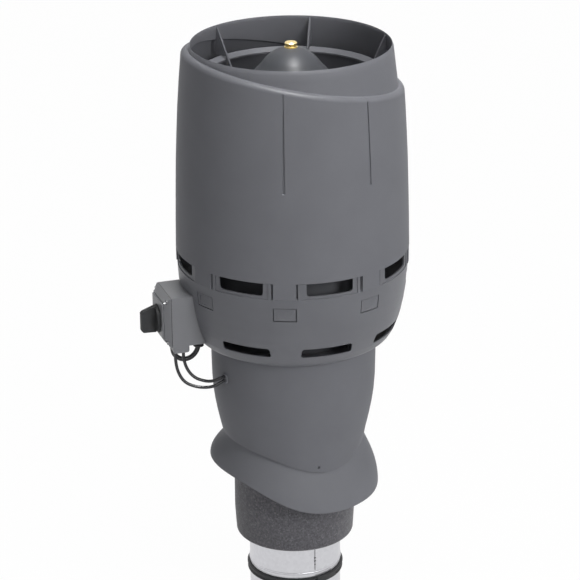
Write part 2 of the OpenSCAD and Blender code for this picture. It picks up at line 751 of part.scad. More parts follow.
module box_lid() {
    c = 9;
    color(plastic) at(-90) difference() {
        translate([0, 0, box_mid]) chamfered_box(box_w, box_h, lid_back + gasket_t, lid_x, c);
        translate([0, 0, box_mid])
            chamfered_box(box_w - 2*wall, box_h - 2*wall, lid_back - 1, lid_x - wall, c - 1);
        lid_bolts() translate([0, 0, -lid_d - 1]) cylinder(r = 2.2, h = lid_d + 2);
        lid_bolts() translate([0, 0, -lid_d - 1]) cylinder(r = 4, h = screw_sink + 1);
        translate([0, -lid_x - 1, switch_z]) rotate([-90, 0, 0]) cylinder(r = 16, h = 8);
    }
}

module box_gasket() {
    color(rubber) at(-90) difference() {
        translate([-box_w/2 + 0.5, -lid_back - gasket_t, box_z + 0.5]) cube([box_w - 1, gasket_t, box_h - 1]);
        translate([-box_w/2 + 2.6, -lid_back - 2, box_z + 2.6]) cube([box_w - 5.2, 3, box_h - 5.2]);
    }
}

module lid_screws() {
    color(plastic) at(-90) lid_bolts() translate([0, 0, -lid_d + screw_sink]) {
        cylinder(r = pilot_r - 0.05, h = lid_screw_l - screw_sink);
        translate([0, 0, -1.5]) cylinder(r1 = 3, r2 = 3.4, h = 1.5);
    }
}

module switch_bezel() {
    color("#77787c") at(-90) difference() {
        translate([0, 0, box_mid]) chamfered_box(bezel_w, bezel_w + 3, lid_x, bezel_x, 1.2);
        translate([0, -lid_x + 1, switch_z]) rotate([90, 0, 0]) cylinder(r = 6.2, h = 10);
        translate([0, -bezel_x + 1.2, switch_z]) rotate([90, 0, 0]) cylinder(r = 25, h = 4);
    }
}

module switch_body() {
    color("#2c2c2e") at(-90) difference() {
        union() {
            translate([-switch_size[0]/2, -lid_x + 4, switch_z - switch_size[2]/2]) cube(switch_size);
            translate([0, -lid_x + 8, switch_z]) rotate([90, 0, 0]) cylinder(r = 15.6, h = 7.8);
        }
        translate([0, -lid_x + 25, switch_z]) rotate([90, 0, 0]) cylinder(r = 4.1, h = 40);
    }
}

module knob_spindle() {
    color(steel) at(-90) translate([0, -lid_x + 24, switch_z])
        rotate([90, 0, 0]) cylinder(r = 4.03, h = 27.6);
}

module knob() {
    base_y = bezel_x - 1.2 + gap;
    tip_y = bezel_x + knob_reach;
    color("#3b3c3c") at(-90) difference() {
        union() {
            translate([0, -base_y, switch_z]) rotate([90, 0, 0]) cylinder(r1 = 24, r2 = 22, h = 6);
            translate([-5.5, 0, switch_z]) rotate([90, 0, 90]) linear_extrude(11)
                polygon([[-base_y - 5, -23], [-base_y - 5, 23], [-tip_y + 3, 15], [-tip_y, 12],
                    [-tip_y, -19], [-tip_y + 3, -22]]);
        }
        translate([0, -base_y + 1, switch_z]) rotate([90, 0, 0]) cylinder(r = 4.05, h = 6);
    }
}

// Cables and what holds them

supply_route = [[-215, 2, 503], [-215, 2, 496], [-215, 2, 489], [-214, 2, 481], [-211.5, 2, 475],
    [-207, 2, 470], [-202, 2, 466.5], [-196, 2, 464.5], [-190, 2, 464.5], [-184, 2, 466],
    [-178.5, 2, 469.5], [-174, 2, 474.5], [-171, 2, 480.5], [-169.5, 2, 487], [-169, 2, 494],
    [-169, 2, 501]];
motor_route_a = [[-218, -26, 504], [-218, -26, 495], [-218, -26, 484], [-217.5, -26, 473],
    [-216, -27, 462], [-213, -28, 452], [-208, -30, 442], [-201, -32, 434.5], [-192, -34.5, 430],
    [-182, -37.5, 427], [-172, -40.5, 426], [-162, -43, 426.5], [-154, -44, 428.5], [-147.5, -43, 431],
    [-141, -41.5, 433], [-135, -39.7, 433.75], [-129, -38, 433.75]];
motor_route_b = [[-204, -26, 504], [-204, -26, 495], [-204, -26, 485], [-203, -26.5, 474],
    [-200.5, -27.5, 464], [-196.5, -29, 455], [-191, -31, 447.5], [-184, -33.5, 441.5],
    [-176, -36.5, 438.5], [-168, -39.5, 436.5], [-160, -42, 436.5], [-153, -43.5, 438],
    [-147, -43, 440], [-141, -41.5, 441], [-135, -39.7, 441.25], [-129, -38, 441.25]];
grommet_at = -73.6;
grommet_z = body_top - 52.5;
grommet_r = 7.6;        // sleeve round the motor cables in the lower body
sleeve_r = 7;           // sleeve round the supply cable in the bowl

module supply_entry(r) {
    translate([supply_x, -entry_y, entry_z]) cylinder(r = r, h = 40);
}

module cable_hole(r) {
    translate([0, -body_r + 21.3, grommet_z]) rotate([90, 0, 0]) cylinder(r = r, h = 40);
}

module supply_cable() color(rubber) tube(supply_route, supply_r);
module motor_cable_a() color(rubber) tube(motor_route_a, motor_cable_r);
module motor_cable_b() color(rubber) tube(motor_route_b, motor_cable_r);

module supply_gland() {
    color(rubber) at(-90) translate([supply_x, -supply_y, 0]) difference() {
        union() {
            translate([0, 0, box_z - 9]) cylinder(r = 9, h = 9, $fn = 6);
            translate([0, 0, box_z - 1]) cylinder(r = 6, h = 5);
        }
        translate([0, 0, box_z - 10]) cylinder(r = supply_r + 0.2, h = 20);
    }
}

module bowl_grommet() {
    color(rubber) at(-90) translate([supply_x, -entry_y, 0]) difference() {
        union() {
            translate([0, 0, entry_z]) cylinder(r = sleeve_r, h = 34);
            translate([0, 0, entry_z]) cylinder(r = sleeve_r + 2, h = 3);
        }
        translate([0, 0, entry_z - 1]) cylinder(r = supply_r + 0.8, h = 36);
    }
}

module cable_grommet() {
    color(rubber) at(grommet_at) difference() {
        union() {
            translate([0, -body_r + 8.3, grommet_z]) rotate([90, 0, 0]) cylinder(r = grommet_r, h = 10);
            translate([0, -body_r - gap, grommet_z]) rotate([90, 0, 0])
                cylinder(r1 = grommet_r + 1.8, r2 = grommet_r + 0.8, h = 2);
        }
        for (s = [-1, 1]) translate([0, -body_r + 16.3, grommet_z + s*3.75])
            rotate([90, 0, 0]) cylinder(r = motor_cable_r + 0.4, h = 25);
    }
}

module cable_clamp() {
    color(plastic) at(-90) difference() {
        union() {
            translate([clamp_edge - 28, -clamp_y, box_z - 8]) cube([28, 28, 7.8]);
            translate([clamp_edge - 3.5, -clamp_y + 4, box_z - 12]) cube([3.5, 20, 8]);
            for (y = clamp_ys) translate([clamp_edge - 3.5, -y, box_z - 8])
                rotate([0, 90, 0]) cylinder(r = 4, h = 3.5);
        }
        for (y = motor_ys) translate([motor_x, -y, box_z - 20]) cylinder(r = motor_cable_r + 0.4, h = 22);
        for (y = clamp_ys) translate([clamp_x, -y, box_z - 10]) cylinder(r = pilot_r, h = 12);
    }
}

module clamp_screws() {
    color("#d8d8dc") at(-90) for (y = clamp_ys) translate([clamp_x, -y, 0]) {
        translate([0, 0, box_z - 8]) cylinder(r = pilot_r - 0.05, h = 8 + wall);
        translate([0, 0, box_z - 10]) cylinder(r = 3, h = 2);
    }
}

duct_pipe();
pipe_seal();
insulation();
storm_skirt();
lower_body();
outlet_bowl();
hood();
latch(1);  // latch_1
latch(2);  // latch_2
latch(3);  // latch_3
latch(4);  // latch_4
latch(5);  // latch_5
latch(6);  // latch_6
latch(7);  // latch_7
latch(8);  // latch_8
fan_casing();
inlet_nozzle();
inner_duct();
vane_ring();
motor_dome();
dome_nut();
motor_stud();
motor_stator();
motor_rotor();
motor_shaft();
motor_bearings();
impeller();
impeller_shroud();
impeller_screws();
motor_screws();
body_screws();
body_nuts();
box_base();
box_lid();
box_gasket();
lid_screws();
switch_bezel();
switch_body();
knob();
knob_spindle();
cable_clamp();
clamp_screws();
supply_gland();
supply_cable();
bowl_grommet();
motor_cable_a();
motor_cable_b();
cable_grommet();
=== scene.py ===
"""Looks of a roof exhaust fan: moulded plastic hood, bowl, body and skirt on an insulated steel duct.

Blender's units are metres, in the part's own frame: +Z up the duct, -Y the front, -X the switch side.
Sizes are written in millimetres and turned to metres with MM. Angles round the duct's axis are counted
from the front, positive towards +X.
"""

import json
import math

import bmesh
import bpy
from mathutils import Matrix, Vector


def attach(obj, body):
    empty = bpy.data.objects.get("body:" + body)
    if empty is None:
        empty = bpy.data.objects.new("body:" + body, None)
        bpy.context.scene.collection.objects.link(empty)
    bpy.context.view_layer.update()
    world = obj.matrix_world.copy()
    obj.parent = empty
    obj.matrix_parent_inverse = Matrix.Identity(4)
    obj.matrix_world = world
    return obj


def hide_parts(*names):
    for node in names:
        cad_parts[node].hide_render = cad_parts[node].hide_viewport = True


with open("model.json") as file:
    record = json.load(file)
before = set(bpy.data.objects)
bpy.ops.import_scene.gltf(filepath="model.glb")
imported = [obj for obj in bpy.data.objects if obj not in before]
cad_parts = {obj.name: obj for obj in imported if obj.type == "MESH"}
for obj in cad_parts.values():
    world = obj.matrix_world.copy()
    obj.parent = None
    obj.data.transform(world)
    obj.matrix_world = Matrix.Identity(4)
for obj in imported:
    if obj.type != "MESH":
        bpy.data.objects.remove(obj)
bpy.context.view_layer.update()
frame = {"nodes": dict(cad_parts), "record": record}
MM = 0.001


def put(name, data):
    """A new object in the scene, with that mesh, curve, lamp or camera."""
    thing = bpy.data.objects.new(name, data)
    bpy.context.scene.collection.objects.link(thing)
    return thing


# Camera, fitted to the round edges in the photo; distances in metres

CAMERA_AZIMUTH = math.radians(-18.5)
CAMERA_DISTANCE = 3.981
CAMERA_HEIGHT = 2.1467
CAMERA_PITCH = math.radians(21.668)
CAMERA_YAW = math.radians(0.071)
CAMERA_ROLL = math.radians(0.503)
CAMERA_REACH = 60.0
SENSOR_MM = 36.0
FOCAL_PIXELS = 2514
FRAME_PIXELS = 580


def make_camera():
    data = bpy.data.cameras.new("camera")
    data.sensor_width = SENSOR_MM
    data.lens = FOCAL_PIXELS / FRAME_PIXELS * SENSOR_MM
    data.clip_end = CAMERA_REACH
    camera = put("camera", data)
    camera.matrix_world = (
        Matrix.Translation((CAMERA_DISTANCE * math.sin(CAMERA_AZIMUTH),
                            -CAMERA_DISTANCE * math.cos(CAMERA_AZIMUTH), CAMERA_HEIGHT))
        @ Matrix.Rotation(CAMERA_AZIMUTH + CAMERA_YAW, 4, "Z")
        @ Matrix.Rotation(math.pi / 2 - CAMERA_PITCH, 4, "X")
        @ Matrix.Rotation(-CAMERA_ROLL, 4, "Z"))
    bpy.context.scene.camera = camera


make_camera()


# Cables, along the routes of their solids

SUPPLY_ROUTE = [
    (-215, 2, 503), (-215, 2, 496), (-215, 2, 489), (-214, 2, 481), (-211.5, 2, 475), (-207, 2, 470),
    (-202, 2, 466.5), (-196, 2, 464.5), (-190, 2, 464.5), (-184, 2, 466), (-178.5, 2, 469.5),
    (-174, 2, 474.5), (-171, 2, 480.5), (-169.5, 2, 487), (-169, 2, 494), (-169, 2, 501)]
MOTOR_ROUTE_A = [
    (-218, -26, 504), (-218, -26, 495), (-218, -26, 484), (-217.5, -26, 473), (-216, -27, 462),
    (-213, -28, 452), (-208, -30, 442), (-201, -32, 434.5), (-192, -34.5, 430), (-182, -37.5, 427),
    (-172, -40.5, 426), (-162, -43, 426.5), (-154, -44, 428.5), (-147.5, -43, 431),
    (-141, -41.5, 433), (-135, -39.7, 433.75), (-129, -38, 433.75)]
MOTOR_ROUTE_B = [
    (-204, -26, 504), (-204, -26, 495), (-204, -26, 485), (-203, -26.5, 474), (-200.5, -27.5, 464),
    (-196.5, -29, 455), (-191, -31, 447.5), (-184, -33.5, 441.5), (-176, -36.5, 438.5),
    (-168, -39.5, 436.5), (-160, -42, 436.5), (-153, -43.5, 438), (-147, -43, 440),
    (-141, -41.5, 441), (-135, -39.7, 441.25), (-129, -38, 441.25)]
SUPPLY_DIAMETER = 8.4 * MM
MOTOR_CABLE_DIAMETER = 5.4 * MM


def make_cable(node, route, diameter, material):
    """One sheathed cable as a smooth spline; both of its ends are inside the fan."""
    data = bpy.data.curves.new(node + "_sheath", "CURVE")
    data.dimensions = "3D"
    data.bevel_depth = diameter / 2
    data.bevel_resolution = 6
    data.resolution_u = 6
    data.use_fill_caps = True
    spline = data.splines.new("POLY")
    spline.points.add(len(route) - 1)
    for point, place in zip(spline.points, route):
        point.co = (*(Vector(place) * MM), 1.0)
    spline.type = "NURBS"
    spline.order_u = 3
    spline.use_endpoint_u = True
    cable = put(node + "_sheath", data)
    data.materials.append(material)
    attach(cable, "fan_body")
    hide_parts(node)


# Materials

def linear(code):
    """A colour in sRGB hex as the linear RGBA that the shaders take."""
    parts = [int(code[i:i + 2], 16) / 255 for i in (1, 3, 5)]
    return [p / 12.92 if p <= 0.04045 else ((p + 0.055) / 1.055) ** 2.4 for p in parts] + [1.0]


def add(tree, kind, inputs=None, stops=(), **settings):
    """Adds a shader node with its settings; each input is a value or another node's output.

    The stops are a colour ramp's positions and hex colours, from low to high.
    """
    made = tree.nodes.new("ShaderNode" + kind)
    for name, value in settings.items():
        setattr(made, name, value)
    for name, value in (inputs or {}).items():
        if isinstance(value, bpy.types.NodeSocket):
            tree.links.new(value, made.inputs[name])
        else:
            made.inputs[name].default_value = value
    for i, (position, code) in enumerate(stops):
        elements = made.color_ramp.elements
        element = elements[i] if i < 2 else elements.new(position)
        element.position = position
        element.color = linear(code)
    return made


def start(name):
    """A new material, its node tree, the socket for its surface, and the place that patterns use."""
    material = bpy.data.materials.new(name)
    material.use_nodes = True
    tree = material.node_tree
    tree.nodes.remove(tree.nodes["Principled BSDF"])
    surface = tree.nodes["Material Output"].inputs["Surface"]
    place = add(tree, "TexCoord").outputs["Object"]
    return material, tree, surface, place


def moulded(name, light, dark, roughness, grain_mm, depth_mm, shine=0.05):
    """Moulded plastic: an even colour with faint clouds, and a grain that breaks up its shine.

    The clouds are 90 mm wide, as the melt flowed. The grain is spark-eroded in the mould and about
    0.2 mm wide on the real fan, too fine to show, so grain_mm draws it several times as coarse. The
    shine is mostly kept low, because the room that a piece mirrors here is white all round.
    """
    material, tree, surface, place = start(name)
    flow = add(tree, "TexNoise", {"Vector": place, "Scale": 1 / (90 * MM), "Detail": 3.0})
    shade = add(tree, "ValToRGB", {"Fac": flow.outputs["Fac"]}, [(0.35, dark), (0.65, light)])
    grain = add(tree, "TexNoise", {"Vector": place, "Scale": 1 / (grain_mm * MM), "Detail": 2.0})
    bump = add(tree, "Bump", {"Height": grain.outputs["Fac"], "Strength": 0.35, "Distance": depth_mm * MM})
    rub = add(tree, "MapRange", {"Value": grain.outputs["Fac"], "From Min": 0.3, "From Max": 0.7,
                                 "To Min": roughness - 0.04, "To Max": roughness + 0.06})
    shader = add(tree, "BsdfPrincipled", {
        "Base Color": shade.outputs["Color"], "Roughness": rub.outputs["Result"],
        "Normal": bump.outputs["Normal"], "IOR": 1.49, "Specular IOR Level": shine})
    tree.links.new(shader.outputs["BSDF"], surface)
    return material


def bare_metal(name, light, dark, spangle_mm, roughness):
    """Zinc-coated or cast metal without paint: bright, with faint crystal patches and upright streaks.

    The patches are spangle_mm wide. The streaks that rolling or casting leaves in the shine are about
    0.2 mm wide, too fine to show, so they are drawn 1.5 mm wide.
    """
    material, tree, surface, place = start(name)
    spangle = add(tree, "TexVoronoi", {"Vector": place, "Scale": 1 / (spangle_mm * MM)})
    shade = add(tree, "ValToRGB", {"Fac": spangle.outputs["Color"]}, [(0.1, dark), (0.9, light)])
    drawn_out = add(tree, "Mapping", {"Vector": place, "Scale": (1.0, 1.0, 0.06)})
    streak = add(tree, "TexNoise", {"Vector": drawn_out.outputs["Vector"], "Scale": 1 / (1.5 * MM),
                                    "Detail": 3.0})
    rub = add(tree, "MapRange", {"Value": streak.outputs["Fac"], "From Min": 0.3, "From Max": 0.7,
                                 "To Min": roughness - 0.05, "To Max": roughness + 0.08})
    shader = add(tree, "BsdfPrincipled", {
        "Base Color": shade.outputs["Color"], "Metallic": 1.0, "Roughness": rub.outputs["Result"]})
    tree.links.new(shader.outputs["BSDF"], surface)
    return material


def rubber(name, light, dark, roughness):
    """Moulded black rubber: nearly even, with smudges 12 mm wide that take a little shine away."""
    material, tree, surface, place = start(name)
    smudge = add(tree, "TexNoise", {"Vector": place, "Scale": 1 / (12 * MM), "Detail": 4.0})
    shade = add(tree, "ValToRGB", {"Fac": smudge.outputs["Fac"]}, [(0.35, dark), (0.7, light)])
    rub = add(tree, "MapRange", {"Value": smudge.outputs["Fac"], "To Min": roughness - 0.06,
                                 "To Max": roughness + 0.08})
    shader = add(tree, "BsdfPrincipled", {
        "Base Color": shade.outputs["Color"], "Roughness": rub.outputs["Result"]})
    tree.links.new(shader.outputs["BSDF"], surface)
    return material


def turned_brass():
    """Turned brass: warm yellow metal with the tool's rings round its axis.

    The real rings are about 0.1 mm apart, too fine to show, so they are drawn 3.77 mm apart. At scale
    1 a wave texture has its rings a twentieth of a full turn's radians apart.
    """
    material, tree, surface, place = start("turned_brass")
    wave_scale = math.tau / 20 / (3.77 * MM)
    rings = add(tree, "TexWave", {"Vector": place, "Scale": wave_scale, "Distortion": 0.4},
                wave_type="RINGS", rings_direction="Z")
    shade = add(tree, "ValToRGB", {"Fac": rings.outputs["Fac"]}, [(0.2, "#cfb46c"), (0.8, "#e6d29a")])
    shader = add(tree, "BsdfPrincipled", {
        "Base Color": shade.outputs["Color"], "Metallic": 1.0, "Roughness": 0.28})
    tree.links.new(shader.outputs["BSDF"], surface)
    return material


def cell_foam():
    """Closed-cell foam, skived from a block: dark grey with pale and black specks, and a pitted skin.

    Its cells are about 1 mm wide, too fine to show, so they are drawn 2.6 mm wide and the pits 1.8 mm.
    """
    material, tree, surface, place = start("cell_foam")
    cells = add(tree, "TexVoronoi", {"Vector": place, "Scale": 1 / (2.6 * MM)})
    speck = add(tree, "ValToRGB", {"Fac": cells.outputs["Color"]},
                [(0.0, "#434246"), (0.35, "#4f4e53"), (0.7, "#5a595e"), (1.0, "#706f74")])
    pits = add(tree, "TexNoise", {"Vector": place, "Scale": 1 / (1.8 * MM), "Detail": 4.0})
    bump = add(tree, "Bump", {"Height": pits.outputs["Fac"], "Strength": 0.6, "Distance": 0.8 * MM})
    shader = add(tree, "BsdfPrincipled", {
        "Base Color": speck.outputs["Color"], "Roughness": 0.9, "Normal": bump.outputs["Normal"],
        "Sheen Weight": 0.35})
    tree.links.new(shader.outputs["BSDF"], surface)
    return material


# Hood, body and small shells: weatherproof polypropylene, a cool mid grey with a satin skin
polypropylene = moulded("grained_polypropylene", "#707176", "#6d6e73",
                        roughness=0.48, grain_mm=1.6, depth_mm=0.12)
# Bowl and latches: the same plastic from a smoother mould, so that their edges catch the light
bowl_plastic = moulded("satin_polypropylene", "#696a6f", "#66676c",
                       roughness=0.42, grain_mm=1.6, depth_mm=0.12, shine=0.25)
# Motor cover: the same plastic as the hood, darkened as painted shade because little light reaches it
# inside the collar, with a soft glint on the bell
shaded_cover_plastic = moulded("shaded_cover_polypropylene", "#585a5e", "#55565b",
                        roughness=0.42, grain_mm=1.6, depth_mm=0.12, shine=0.04)
# Skirt: the same plastic as the hood, paled a little as painted light because it faces the sky
lit_skirt_plastic = moulded("lit_skirt_polypropylene", "#77787d", "#74757a",
                        roughness=0.48, grain_mm=1.6, depth_mm=0.12)
# Casing: its plastic darkened as painted shade, because it is seen only in the shade of the windows
shaded_casing_plastic = moulded("shaded_casing_polypropylene", "#5c5d61", "#58595d",
                         roughness=0.5, grain_mm=1.6, depth_mm=0.12)
# Impeller: nylon with glass fibres, dull and dark
nylon = moulded("glass_filled_nylon", "#5b5c60", "#525357", roughness=0.55, grain_mm=1.2, depth_mm=0.12)
# Switch box: ABS from a polished mould, the shiniest and palest of the plastics
box_abs = moulded("moulded_abs", "#737478", "#6d6e72",
                  roughness=0.38, grain_mm=1.4, depth_mm=0.06, shine=0.5)
# Knob: dyed polyamide, nearly black and matt from handling
knob_plastic = moulded("knob_polyamide", "#424345", "#383939", roughness=0.5, grain_mm=1.4, depth_mm=0.1)
# Switch block: pressed phenolic resin, black and dull
switch_plastic = moulded("switch_phenolic", "#2f2f31", "#28282a", roughness=0.5, grain_mm=1.4, depth_mm=0.1)
# Duct: rolled sheet with a thin zinc coat, bright and satin
duct_steel = bare_metal("galvanised_sheet", "#cfcfd3", "#c9c9cd", spangle_mm=5.0, roughness=0.33)
# Screws: zinc plated, finer and shinier than the sheet
screw_steel = bare_metal("zinc_plated_screw", "#dcdce0", "#c9c9cd", spangle_mm=3.0, roughness=0.24)
# Motor: die-cast aluminium, greyer and blunter
motor_alloy = bare_metal("die_cast_aluminium", "#a3a5a9", "#94969a", spangle_mm=2.5, roughness=0.5)
# Seals: soft rubber, matt black
seal_rubber = rubber("black_seal_rubber", "#232327", "#19191c", roughness=0.5)
# Cables: extruded sheath, smoother, with a narrow line of light along it
sheath_rubber = rubber("cable_sheath_rubber", "#242529", "#18181b", roughness=0.36)

FINISH = {
    "galvanised_duct": duct_steel, "black_rubber": seal_rubber, "foam": cell_foam(),
    "moulded_shell": polypropylene, "inner_moulding": shaded_casing_plastic, "nozzle_steel": duct_steel,
    "brass": turned_brass(), "bright_steel": screw_steel, "motor_aluminium": motor_alloy,
    "impeller_plastic": nylon, "box_plastic": box_abs, "switch_plastic": switch_plastic,
    "knob_plastic": knob_plastic, "cable_sheath": sheath_rubber}
ROUNDED = {
    0.5: ["outlet_bowl", "inner_duct", "vane_ring", "dome_nut"],
    0.7: ["box_base", "box_lid", "switch_bezel", "knob", "cable_clamp"]}


def finish_nodes():
    """Gives each solid the finish of its slot in the record, and the bowl its own."""
    for part in frame["record"]["subparts"]:
        node = frame["nodes"][part["node"]]
        node.data.materials.clear()
        node.data.materials.append(FINISH[part["material_slot"]])
    frame["nodes"]["outlet_bowl"].data.materials[0] = bowl_plastic


def round_edges(thing, width_mm):
    """Rounds the hard edges of one object a little, as a mould does."""
    bevel = thing.modifiers.new("soft_edge", "BEVEL")
    bevel.width = width_mm * MM
    bevel.segments = 2
    bevel.limit_method = "ANGLE"
    bevel.angle_limit = math.radians(38)


finish_nodes()
for edge_mm, names in ROUNDED.items():
    for name in names:
        round_edges(frame["nodes"][name], edge_mm)
make_cable("supply_cable", SUPPLY_ROUTE, SUPPLY_DIAMETER, sheath_rubber)
make_cable("motor_cable_a", MOTOR_ROUTE_A, MOTOR_CABLE_DIAMETER, sheath_rubber)
make_cable("motor_cable_b", MOTOR_ROUTE_B, MOTOR_CABLE_DIAMETER, sheath_rubber)


# Shells, each a loft of profiles round the duct's axis

WALL = 3.0
COLUMN_STEP = 1.5  # degrees from one column of points to the next
ROUND = [math.radians(COLUMN_STEP * step) for step in range(round(360 / COLUMN_STEP))]
SHARP_ANGLE = 32  # an edge that turns by more degrees than this is shaded sharp


def polar(radius, angle, height):
    """A point in metres, from a radius and height in millimetres and an angle from the front."""
    return Vector((radius * math.sin(angle), -radius * math.cos(angle), height)) * MM


def along(points, height):
    """The radius of a profile of (radius, height) points at that height."""
    for (r0, z0), (r1, z1) in zip(points, points[1:]):
        if height <= z1:
            return r0 + (r1 - r0) * (height - z0) / (z1 - z0)
    return points[-1][0]


def mesh_data(name, mesh):
    """Blender's mesh from a bmesh, which is used up."""
    data = bpy.data.meshes.new(name)
    mesh.to_mesh(data)
    mesh.free()
    return data


def piece(name, mesh, material, body, nodes, sharp=SHARP_ANGLE):
    """Turns a bmesh into a smooth-shaded object that rides on a body and stands for solids."""
    data = mesh_data(name, mesh)
    data.shade_smooth()
    data.set_sharp_from_angle(angle=math.radians(sharp))
    data.materials.append(material)
    made = put(name, data)
    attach(made, body)
    if nodes:
        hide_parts(*nodes)
    return made


def shell(name, columns, material, body, node, sharp=SHARP_ANGLE):
    """A closed mesh through columns of (radius, angle, height); it stands for that solid."""
    mesh = bmesh.new()
    grid = [[mesh.verts.new(polar(*p)) for p in column] for column in columns]
    for a, b in zip(grid, grid[1:] + grid[:1]):
        for i in range(len(a)):
            j = (i + 1) % len(a)
            mesh.faces.new((a[i], b[i], b[j], a[j]))
    bmesh.ops.remove_doubles(mesh, verts=mesh.verts, dist=0.004 * MM)
    bmesh.ops.recalc_face_normals(mesh, faces=mesh.faces)
    return piece(name, mesh, material, body, [node], sharp)


def cut(target, cutter):
    """Takes the cutter's shape out of a piece for good."""
    modifier = target.modifiers.new("cut", "BOOLEAN")
    modifier.operation = "DIFFERENCE"
    modifier.solver = "EXACT"
    modifier.object = cutter
    bpy.context.view_layer.update()
    cut_mesh = bpy.data.meshes.new_from_object(target.evaluated_get(bpy.context.evaluated_depsgraph_get()))
    target.modifiers.clear()
    target.data = cut_mesh
    cut_mesh.set_sharp_from_angle(angle=math.radians(SHARP_ANGLE))
    bpy.data.objects.remove(cutter)


def radial_rod(radius, inner, outer, angle, height):
    """A rod across the wall at one angle and height, as a cutter."""
    mesh = bmesh.new()
    bmesh.ops.create_cone(mesh, cap_ends=True, segments=32, radius1=radius * MM, radius2=radius * MM,
                          depth=(outer - inner) * MM)
    turn = Matrix.Rotation(angle, 4, "Z") @ Matrix.Translation((0, -(inner + outer) / 2 * MM, height * MM))
    bmesh.ops.transform(mesh, matrix=turn @ Matrix.Rotation(math.pi / 2, 4, "X"), verts=mesh.verts)
    data = mesh_data("rod", mesh)
    data.shade_smooth()
    return put("rod", data)


# Hood: a wall that draws in, a slanting shoulder, a collar, and tongues between the windows

BAYS = 8
HOOD_LOW = 652.0
HOOD_WALL = [(197.2, HOOD_LOW), (196.4, 700), (195.2, 750), (193.8, 800), (191.5, 850), (188.8, 900),
             (184.2, 960), (181.0, 992)]
SHOULDER_HEIGHT = 962.0  # on the axis
SHOULDER_SLOPE = math.tan(math.radians(11))
SHOULDER_ROUND = 9.0
COLLAR_RADIUS = 168.8  # outside, under the rim
COLLAR_DRAFT = 9.4 / 78  # how much wider the outside gets for each millimetre down
COLLAR_INNER_DRAFT = 9.8 / 82
COLLAR_RING = 985.0  # height of a ring of points between the shoulder and the rim
COLLAR_FOOT = 173.0  # about where its outside stands on the shoulder
COLLAR_INNER_FOOT = 170.0
FOOT_FILLET = (1.2, 1.4)  # how far out and up the rounding at the collar's foot reaches
FILLET_MIDDLE = (0.3, 0.4)
INNER_FILLET = (0.8, 0.6)
RIM_HEIGHT = 1002.0
RIM_BEVEL = 6.0
# Rounded rim, outwards from the collar's outer radius and upwards from its top
RIM_EDGE = [(-0.5, -5), (-2.2, -0.4), (-2.6, 0), (-2.7, 0), (-WALL, -0.5), (-WALL, -RIM_BEVEL)]
TONGUE_HALF = math.radians(5.5)
TONGUE_LOW = 624.3
TONGUE_BACK = 0.4  # how far a tongue's face lies behind the wall above it
TONGUE_STEP = (HOOD_LOW + 0.65, HOOD_LOW + 0.7)  # heights of the step between the two
HOOD_EDGE = 0.6  # bevel along the lower edge
GROOVES = [math.radians(a) for a in (-22.5, 22.5, 157.5, 202.5)]
GROOVE_LOW = 805.0
GROOVE_LENGTH = 165.0
GROOVE_HALF = (2.3, 0.5)  # half its width at the lower and the upper end
GROOVE_DEPTH = 2.2
GROOVE_ACROSS = (-1.0, -0.88, -0.4, 0.0, 0.4, 0.88, 1.0)
GROOVE_FLOOR = 0.9  # the columns nearer to the middle than this share are on its floor
# Heights of the rings of points on the wall, up its outside and down its inside
HOOD_RINGS = (700, 750, GROOVE_LOW - 0.5, GROOVE_LOW + 0.5, 850)
HOOD_INNER_RINGS = (880, 850, 800, 750, 700, TONGUE_STEP[1])
GROOVE_ROWS = range(8, 14)  # rows of a column from the groove's lower end to the shoulder's round


def shoulder(radius, angle):
    return SHOULDER_HEIGHT - SHOULDER_SLOPE * radius * math.sin(angle)


def collar_outside(height):
    return COLLAR_RADIUS + COLLAR_DRAFT * (RIM_HEIGHT - RIM_BEVEL - height)


def collar_inside(height):
    return COLLAR_RADIUS - WALL + COLLAR_INNER_DRAFT * (RIM_HEIGHT - RIM_BEVEL - height)


def arc(corner, top, radius, turns):
    """Rows round the shoulder's outer corner, at turns in degrees up from level."""
    return [(corner + radius * math.cos(math.radians(t)), top - radius * (1 - math.sin(math.radians(t))))
            for t in turns]


